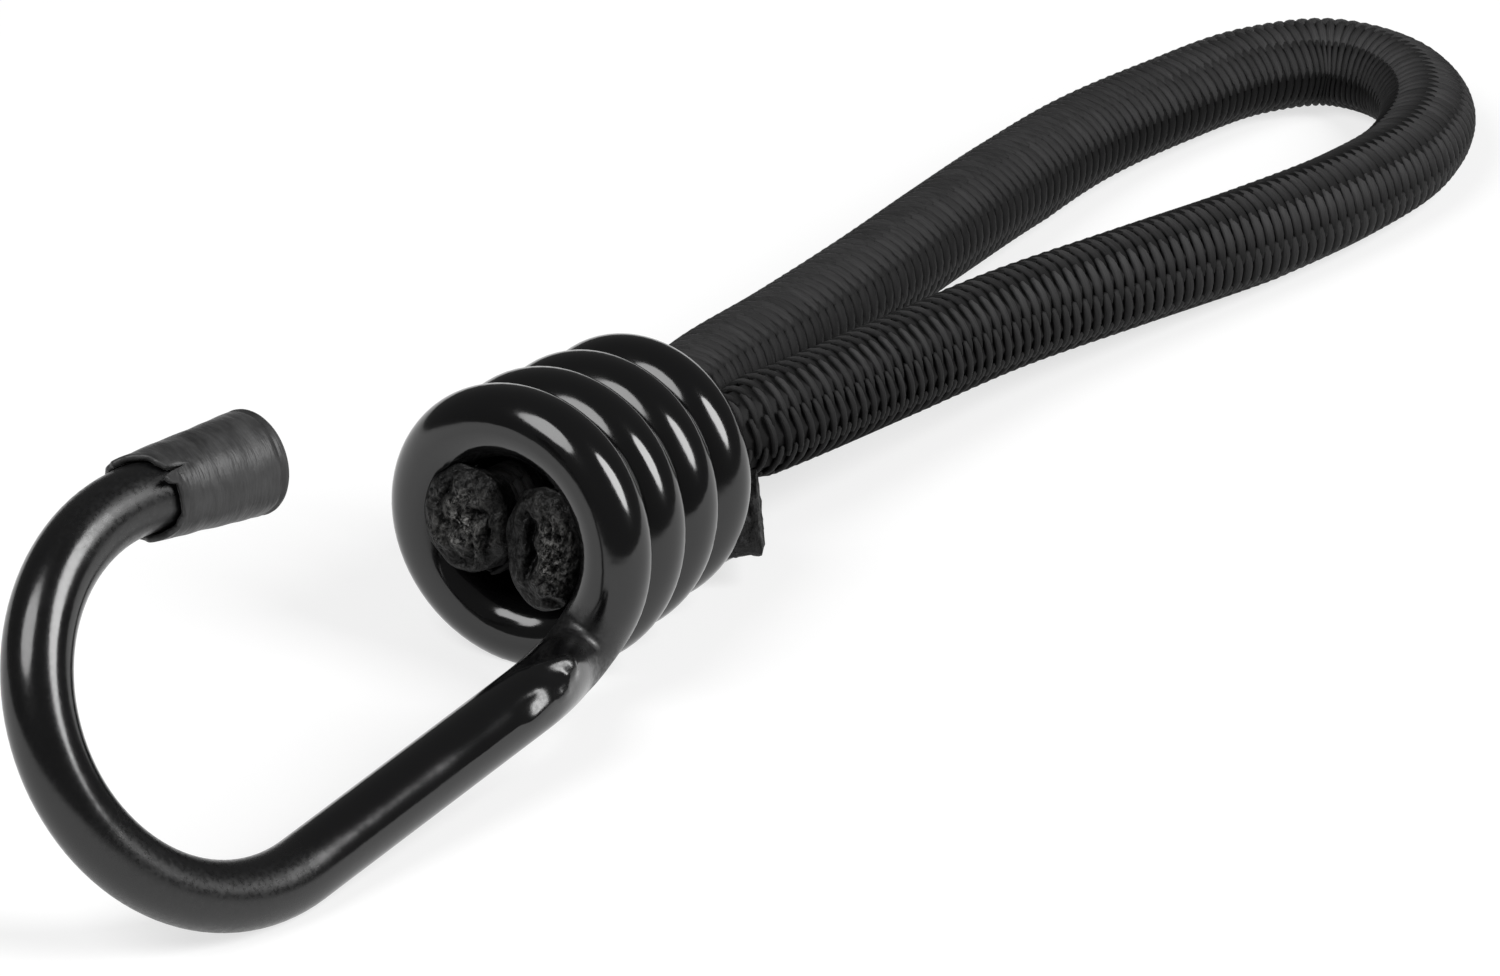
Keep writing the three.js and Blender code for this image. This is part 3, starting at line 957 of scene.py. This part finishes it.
def snip_finish():
    """Dark smeared steel, scored by the cutter."""
    finish, add, _, join = new_finish("snipped_steel", Specular_IOR_Level=0.35)
    place = add("ShaderNodeTexCoord").outputs["Object"]
    smear = add("ShaderNodeTexNoise", {
        "Vector": place, "Scale": 700.0, "Detail": 4.0, "Roughness": 0.65,
    }).outputs["Fac"]
    tint = add("ShaderNodeValToRGB", {"Fac": smear})
    dark, light = tint.color_ramp.elements
    dark.position, light.position = 0.52, 0.72
    dark.color, light.color = (0.002, 0.002, 0.002, 1), (0.09, 0.09, 0.092, 1)
    join(tint.outputs["Color"], "Base Color")
    dull = add("ShaderNodeMapRange", {"Value": smear, "To Min": 0.5, "To Max": 0.8})
    join(dull.outputs[0], "Roughness")
    score = add("ShaderNodeBump", {"Height": smear, "Strength": 0.9, "Distance": 0.0005})
    join(score.outputs["Normal"], "Normal")
    return finish


snipped = placed("snipped_end", snip_start(), snip_finish(), smooth=False)
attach(snipped, "hook")
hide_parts("hook_core")


# Tip cap: a dull black vinyl sleeve pushed over the tip, closed flat and a little wider there.
# Its mouth is torn: a lip runs back along the bend above and another below, with a notch between.
cap_length = 13.4
cap_mouth_radius = 3.45
cap_end_radius = 4.15
cap_wall = 0.5
cap_dome = 1.15
cap_spokes, cap_rows, dome_rows = 120, 60, 8
pole_radius = 0.02
end_rise = 0.08
edge_round = 0.12
torn_length = 4.6
plain_share, torn_share = 0.7, 0.3
plug_depth, plug_dish = 4, 0.2
lip_waver = 0.2
ripple_height = 0.09
groove_depth, groove_at, groove_width = 0.16, 0.02, 0.014
curl_height, curl_angle, curl_width = 0.6, 0.22, 0.14
curl_from, curl_share = 0.84, 0.16
# Angle round from the camera, in radians, and how far the mouth's edge reaches past the cap there.
torn_edge = (
    (-3.15, -1.8), (-2.2, -1.6), (-1.7, -1.7), (-1.4, -2.1), (-1.1, -2.7), (-0.8, -2.9),
    (-0.4, -2.8), (-0.1, -2.7), (0.05, -2.6), (0.12, -1.7), (0.22, -1.4), (0.3, -1.8),
    (0.36, -3.6), (0.42, -3.8), (0.48, -2.3), (0.7, -2.1), (1, -1.9), (1.3, -1.4), (1.5, -0.8),
    (1.75, -0.3), (2.1, -0.5), (2.6, -1.2), (3.15, -1.8),
)


def cap_start():
    """The cap in rows from the middle of its end, over its side and torn edge, to a plug inside."""
    end = tip_line[-1]
    front = (-view_away - tip_way * (-view_away).dot(tip_way)).normalized()
    top = tip_way.cross(front)
    top = top if top.dot(view_up) > 0 else -top
    points = []

    def lip(a):
        """How far the mouth's edge reaches past the cap's plain length at an angle."""
        torn = lip_waver * uneven(math.cos(a) * 5, math.sin(a) * 5, 1.3)
        return float(np.interp(a, *zip(*torn_edge))) + torn

    def row(radius_of, back_of):
        for spoke in range(cap_spokes):
            a = math.tau * spoke / cap_spokes
            a = a if a <= math.pi else a - math.tau
            r, back = radius_of(a), back_of(a)
            rim = (front * math.cos(a) + top * math.sin(a)) * r
            points.append((end - tip_way * back + rim) * MM)

    def outer(a, t):
        """The cap's radius at an angle, from its end at 0 to its mouth at 1."""
        ripple = ripple_height * uneven(math.cos(a) * 2, math.sin(a) * 2, t * 6)
        groove = groove_depth * math.exp(-(((t - groove_at) / groove_width) ** 2))
        curl = curl_height * math.exp(-(((a - curl_angle) / curl_width) ** 2))
        curl = curl * max(0, (t - curl_from) / curl_share) ** 2
        plain = cap_end_radius + (cap_mouth_radius - cap_end_radius) * t
        return plain + ripple - groove + curl

    row(lambda a: pole_radius, lambda a: -end_rise)
    for i in range(dome_rows + 1):
        q = math.pi / 2 * i / dome_rows
        row(
            lambda a: cap_end_radius * (0.5 + 0.5 * math.sin(q)),
            lambda a: cap_dome * (1 - math.cos(q)),
        )
    for i in range(1, cap_rows + 1):
        t = i / cap_rows
        plain = cap_dome + min(1, t / plain_share) * (cap_length - torn_length - cap_dome)
        torn = max(0, t - plain_share) / torn_share
        row(lambda a: outer(a, t), lambda a: plain + torn * (torn_length + lip(a)))
    row(lambda a: outer(a, 1) - cap_wall * 0.5, lambda a: cap_length + lip(a) + edge_round)
    row(lambda a: outer(a, 1) - cap_wall, lambda a: cap_length + lip(a))
    row(lambda a: outer(a, 1) - cap_wall, lambda a: cap_length - plug_depth)
    row(lambda a: pole_radius, lambda a: cap_length - plug_depth - plug_dish)
    faces = [(a, d, c, b) for a, b, c, d in tube_faces(points, cap_spokes)]
    faces.append(tuple(reversed(range(cap_spokes))))
    faces.append(tuple(range(len(points) - cap_spokes, len(points))))
    mesh = bpy.data.meshes.new("tip_sleeve")
    mesh.from_pydata(points, [], faces)
    offs = [p / MM - end for p in points]
    on_cap = [(-p.dot(tip_way), p.dot(front), p.dot(top)) for p in offs]
    mark(mesh, "along", on_cap, "FLOAT_VECTOR")
    return mesh


def vinyl_finish():
    """Dull dark grey vinyl with a bloom and faint bands round it."""
    finish, add, maths, join = new_finish(
        "dull_vinyl", Specular_IOR_Level=0.5, Sheen_Weight=0.12, Sheen_Roughness=0.35,
    )
    place = add("ShaderNodeTexCoord").outputs["Object"]
    bloom = add("ShaderNodeTexNoise", {
        "Vector": place, "Scale": 330.0, "Detail": 4.0, "Roughness": 0.6,
    }).outputs["Fac"]
    along = add("ShaderNodeAttribute", attribute_name="along").outputs["Vector"]
    rolled = add("ShaderNodeMapping", {"Vector": along, "Scale": (1.1, 0.22, 0.22)})
    bands = add("ShaderNodeTexNoise", {
        "Vector": rolled.outputs[0], "Scale": 1.0, "Detail": 3.0, "Roughness": 0.6,
    }).outputs["Fac"]
    mixed = maths("MULTIPLY", maths("ADD", bloom, bands), 0.5)
    tint = add("ShaderNodeValToRGB", {"Fac": mixed})
    dark, light = tint.color_ramp.elements
    dark.position, light.position = 0.36, 0.66
    dark.color, light.color = (0.016, 0.016, 0.0162, 1), (0.056, 0.056, 0.0565, 1)
    join(tint.outputs["Color"], "Base Color")
    dull = add("ShaderNodeMapRange", {"Value": bands, "To Min": 0.34, "To Max": 0.6})
    join(dull.outputs[0], "Roughness")
    skin = add("ShaderNodeBump", {"Height": bands, "Strength": 0.5, "Distance": 0.0004})
    grain = add("ShaderNodeTexNoise", {"Vector": place, "Scale": 1600.0, "Detail": 2.0})
    fine = add("ShaderNodeBump", {
        "Height": grain.outputs["Fac"], "Strength": 0.25, "Distance": 0.0001,
        "Normal": skin.outputs["Normal"],
    })
    join(fine.outputs["Normal"], "Normal")
    return finish


cap = placed("tip_sleeve", cap_start(), vinyl_finish())
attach(cap, "hook")
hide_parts("tip_cap")


# Studio: a white table between two soft oval lights, one high on the camera's right and one high
# on its left, in a faint white surround.
# The table is as bright as white to the camera and in reflections, and keeps the soft shadows.
table_half = 4.0
table_lift = 0.7
lit_point = (0.02, 0, 0.01)
surround_strength = 0.1


def table_finish():
    finish, add, maths, join = new_finish(
        "white_table", Base_Color=(0.32, 0.32, 0.32, 1), Roughness=0.9,
    )
    ray = add("ShaderNodeLightPath").outputs
    seen = maths("MAXIMUM", ray["Is Camera Ray"], ray["Is Glossy Ray"])
    join(maths("MULTIPLY", seen, table_lift), "Emission Strength")
    return finish


table = bpy.data.meshes.new("table")
corners = ((-1, -1), (1, -1), (1, 1), (-1, 1))
table.from_pydata([(x * table_half, y * table_half, 0) for x, y in corners], [], [(0, 1, 2, 3)])
table_top = placed("table", table, table_finish(), smooth=False)


def soft_light(name, bearing, height, width, tall, watts):
    """An oval light a metre off, aimed at the coil."""
    a, e = math.radians(bearing), math.radians(height)
    light = bpy.data.lights.new(name, "AREA")
    light.shape = "ELLIPSE"
    light.size, light.size_y, light.energy = width, tall, watts
    holder = bpy.data.objects.new(name, light)
    place = Vector((math.cos(a) * math.cos(e), math.sin(a) * math.cos(e), math.sin(e)))
    holder.location = place
    holder.rotation_mode = "QUATERNION"
    holder.rotation_quaternion = (Vector(lit_point) - place).to_track_quat("-Z", "Y")
    scene.collection.objects.link(holder)


soft_light("right_box", -82, 42, 0.42, 0.7, 8.2)
soft_light("left_box", 158, 52, 0.62, 0.62, 6.0)
surround = bpy.data.worlds.new("surround")
surround.use_nodes = True
scene.world = surround
glow = surround.node_tree.nodes["Background"]
glow.inputs["Color"].default_value = (1, 1, 1, 1)
glow.inputs["Strength"].default_value = surround_strength
